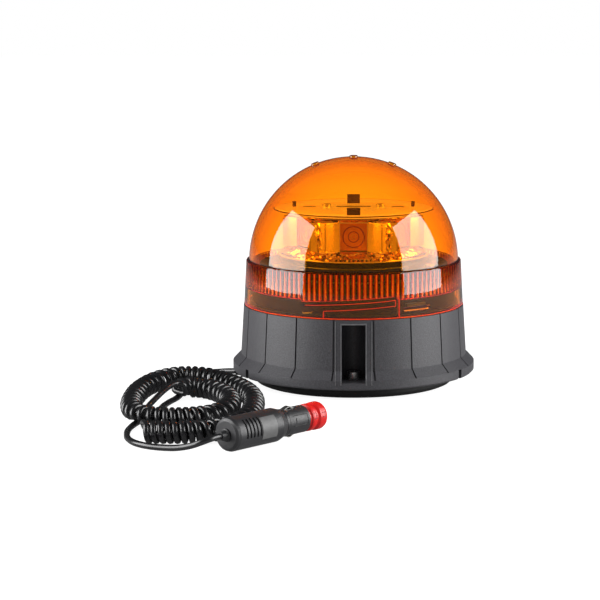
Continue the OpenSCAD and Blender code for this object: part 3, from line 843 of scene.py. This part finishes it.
def faceted_ring(name, profile, columns, deep, material, node, seed):
    """A mirror ring whose front is broken into small flat facets. profile goes from the front's
    first row to its last, then round the back."""
    draw = random.Random(seed)
    front = len(profile) - 2
    points = []
    for i, (r, z) in enumerate(profile):
        for j in range(columns):
            swing = deep if 0 < i < front - 1 else 0
            points.append(polar(360 * (j + 0.5 * (i % 2)) / columns, r + draw.uniform(-swing, swing),
                                z + draw.uniform(-swing, swing)))
    split = []
    for index, (a, b, c, d) in enumerate(ring_faces(len(profile), columns)):
        split += [(a, b, c), (a, c, d)] if index % 2 else [(a, b, d), (b, c, d)]
    piece = mesh_piece(name, points, split, material, "beacon")
    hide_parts(node)


def star_panel(name, azimuth, half_w, half_h, material):
    """A starburst of mirror facets on the line between two cells."""
    spokes, proud, thick = 32, 0.7, 1.6
    shares = (0.12, 0.4, 0.7, 1.0)
    points = [(0, STAR_FACE - 0.6, 0)]
    for i, share in enumerate(shares):
        for j in range(spokes):
            a = 2 * math.pi * (j + 0.5 * (i % 2)) / spokes
            reach = min(half_w / max(abs(math.cos(a)), 0.01), half_h / max(abs(math.sin(a)), 0.01))
            swing = (proud if (j + i) % 2 else -proud) if share < 1 else 0
            points.append((share * reach * math.cos(a), STAR_FACE + swing, share * reach * math.sin(a)))
    points += [(x, STAR_FACE - thick, z) for x, _, z in points[-spokes:]]
    placed = [turned(azimuth, x, -deep, WALL_MIDDLE + z) for x, deep, z in points]
    faces = [(0, 1 + j, 1 + (j + 1) % spokes) for j in range(spokes)]
    for a, b, c, d in grid_faces(len(shares) + 1, spokes, 1):
        faces += [(a, b, c), (a, c, d)]
    faces.append(tuple(range(1 + len(shares) * spokes, 1 + (len(shares) + 1) * spokes)))
    mesh_piece(name, placed, faces, material, "beacon")


def add_mirror_walls(material):
    """The hollow mirror on each side of each window, a little proud of the reflector ring."""
    near, far = Vector((9.9, -39.4, 0)), Vector((19.3, -45.2, 0))
    outward = Vector((far.y - near.y, near.x - far.x, 0)).normalized()
    steps, hollow, proud, thick = 10, 0.75, 0.9, 0.5
    for c in range(CELLS):
        for side, word in ((-1, "left"), (1, "right")):
            rows = []
            for back in (0, thick):
                for i in range(steps + 1):
                    t = i / steps
                    p = near.lerp(far, t) + outward * (proud - hollow * 4 * t * (1 - t) - back)
                    rows.append((side * p.x, p.y))
            points = [turned(CELL * c, x, y, z)
                      for z in (WALL_LOW + 0.1, WALL_HIGH - 0.1) for x, y in rows]
            n, m = steps + 1, 2 * (steps + 1)
            faces = []
            for i in range(steps):
                faces += [(i, i + 1, m + i + 1, m + i), (n + i, n + i + 1, m + n + i + 1, m + n + i),
                          (i, i + 1, n + i + 1, n + i), (m + i, m + i + 1, m + n + i + 1, m + n + i)]
            faces += [(0, n, m + n, m), (steps, n + steps, m + n + steps, m + steps)]
            mesh_piece(f"mirror_wall_{word}_{c + 1}", points, faces, material, "beacon",
                       30)


def add_optic_rings():
    """Moulded rings on the face of each collimator."""
    line = finish_of("optic_ring", (0.42, 0.07, 0.015), 0.3, patch=3)
    eye = finish_of("optic_eye", (1.0, 0.42, 0.08), 0.2, patch=2)
    count = 36
    for c in range(CELLS):
        centre, across = polar(CELL * c, OPTIC_FACE, WALL_MIDDLE), polar(CELL * c + 90, 1, 0)
        for word, radius, thick, material in (("outer", 7.2, 0.45, line), ("inner", 3.6, 0.35, line),
                                              ("eye", 1.7, 0.5, eye)):
            points = []
            for i in range(count):
                a = 2 * math.pi * i / count
                points.append(centre + radius * (math.cos(a) * across + Vector((0, 0, math.sin(a)))))
            tube(f"optic_ring_{word}_{c + 1}", points, thick, material, "beacon",
                 closed=True)


def add_beads(name, azimuth, material):
    """A row of dark beads along the foot of a cell's window."""
    rings, ring = 3, 8
    points, faces = [], []
    for k in range(-4, 5):
        centre = polar(azimuth + BEAD_APART * k, BEAD_ROW_R, BEAD_ROW_Z)
        base = len(points)
        for i in range(1, rings + 1):
            lean = math.pi * i / (rings + 1)
            for j in range(ring):
                a = 2 * math.pi * j / ring
                points.append(centre + BEAD_R * Vector((math.sin(lean) * math.cos(a),
                                                        math.sin(lean) * math.sin(a), math.cos(lean))))
        faces += capped_faces(rings, ring, base)
    mesh_piece(name, points, faces, material, "beacon", 60)


def add_module():
    """Mirrors, collimator faces and beads of the six cells."""
    mirror = MATERIALS["mirror_plastic"]
    steps = 7
    cone = [(38.7 + 12.6 * i / steps, 96.5 - 5.2 * i / steps) for i in range(steps + 1)]
    faceted_ring("reflector_pebbled", cone + [(51.4, 90.6), (38.7, 90.6)], 150, 0.42, mirror,
                 "lower_reflector", 4)
    fan = [(39.0, 116.9), (41.5, 117.4), (45.5, 118.6), (49.8, 119.8)]
    faceted_ring("reflector_fan", fan + [(49.8, 120.9), (39.0, 120.9)], 96, 0.5, mirror,
                 "upper_reflector", 9)
    add_mirror_walls(mirror)
    add_optic_rings()
    dark = finish_of("cell_bead", (0.03, 0.015, 0.008), 0.25, patch=2)
    for c in range(CELLS):
        star_panel(f"mirror_star_{c + 1}", CELL * (c + 0.5), 6.0, 9.8, mirror)
        add_beads(f"cell_beads_{c + 1}", CELL * c, dark)


def add_reflector_rim():
    """The bright lip round the reflector's foot."""
    lip = finish_of("reflector_lip", (1.0, 0.78, 0.3), 0.25, patch=5)
    lathe("reflector_lip", [(51.5, 90.55), (52.6, 90.55), (52.6, 91.15), (51.5, 91.15)], 180, lip,
          "beacon")


def add_disc_details():
    """Dark outlines of the top disc, of its underside and of its slots."""
    line = finish_of("disc_edge", (0.05, 0.022, 0.008), 0.4, patch=4)
    lathe("disc_rim", [(DISC_R - 0.5, 122.0), (DISC_R + 0.05, 122.0), (DISC_R + 0.05, 122.7),
                       (DISC_R - 0.5, 122.7)], 180, line, "beacon")
    lathe("disc_underside_rim", [(50.6, 120.95), (51.3, 120.95), (51.3, 120.2), (50.6, 120.2)], 180,
          line, "beacon")
    slot_insert("disc_slot_bar", 0, 24, 3.8, line)
    for side, word in ((-1, "left"), (1, "right")):
        slot_insert(f"disc_slot_{word}", 31 * side, 8.8, 2.8, line)


def slot_insert(name, across, width, depth, material):
    """A dark bar with rounded ends that fills a slot in the top disc."""
    points, sides = [], 16
    for z in (121.1, DISC_TOP + 0.15):
        for i in range(sides):
            a = 2 * math.pi * (i + 0.5) / sides
            x = across + math.copysign(width / 2 - depth / 4, math.cos(a)) + depth / 4 * math.cos(a)
            points.append((x, depth / 2 * math.sin(a), z))
    mesh_piece(name, points, capped_faces(2, sides), material, "beacon", 40)


# ---------------------------------------------------------------- plug details

PLUG_AT = Vector((-78, -236.5, 10.85))
PLUG_YAW = 48.0
NOSE_R = 8.7
PLUG_AXIS = Vector((math.cos(math.radians(PLUG_YAW)), math.sin(math.radians(PLUG_YAW)), 0))
PLUG_SIDE = Vector((math.sin(math.radians(PLUG_YAW)), -math.cos(math.radians(PLUG_YAW)), 0))


def on_plug(along_axis, turn, radius):
    """A point on the plug: turn is 0 on the side that faces the front and 90 on top."""
    a = math.radians(turn)
    return PLUG_AT + PLUG_AXIS * along_axis + radius * (math.cos(a) * PLUG_SIDE
                                                        + Vector((0, 0, math.sin(a))))


def on_plug_path(corners, radius, step=2.0):
    """Points that join corners of (distance along, turn) over the plug's round face."""
    path = []
    for (s0, t0), (s1, t1) in zip(corners, corners[1:]):
        size = max(abs(s1 - s0), abs(t1 - t0) * radius * math.pi / 180)
        count = max(1, round(size / step))
        path += [on_plug(s0 + (s1 - s0) * i / count, t0 + (t1 - t0) * i / count, radius)
                 for i in range(count)]
    path.append(on_plug(*corners[-1], radius))
    return path


def add_plug_details():
    """The outlines pressed into the plug's front section and into the red adapter."""
    groove = finish_of("plug_groove", (0.004, 0.004, 0.004), 0.5, patch=3)
    red_groove = finish_of("adapter_groove", (0.16, 0.003, 0.003), 0.4, patch=3)
    latch = [(52, 33), (64.5, 33), (64.5, -11), (52, -11)]
    tube("plug_latch_outline", on_plug_path(latch, NOSE_R + 0.02), 0.28, groove, "beacon")
    tube("plug_latch_bar", on_plug_path([(54, 22), (54, 0)], NOSE_R), 0.3, groove, "beacon")
    tube("plug_seam", on_plug_path([(48.6, t) for t in range(0, 360, 10)], NOSE_R - 0.02)[:-1], 0.16,
         groove, "beacon", closed=True)
    for index, (corners, proud) in enumerate((([(70.6, 26), (72.4, 26), (72.4, 2), (70.6, 2)], 0.1),
                                              ([(72.9, 14), (73.2, 14)], -0.25),
                                              ([(77.4, 22), (80.4, 22), (80.4, 4), (77.4, 4)], 0.3))):
        tube(f"adapter_mark_{index + 1}", on_plug_path(corners, NOSE_R + proud), 0.22, red_groove,
             "adapter")


# ---------------------------------------------------------------- the scene

set_camera()
set_world()
set_floor()
softbox("softbox_left", -SOFTBOX_AZIMUTH)
softbox("softbox_right", SOFTBOX_AZIMUTH)
cord, cord_points = add_cord()
add_lens()
add_flute_bars()
finish_cad_nodes()
add_ramp_edges()
add_collar_sleeve()
add_base_details()
add_module()
add_reflector_rim()
add_disc_details()
add_plug_details()
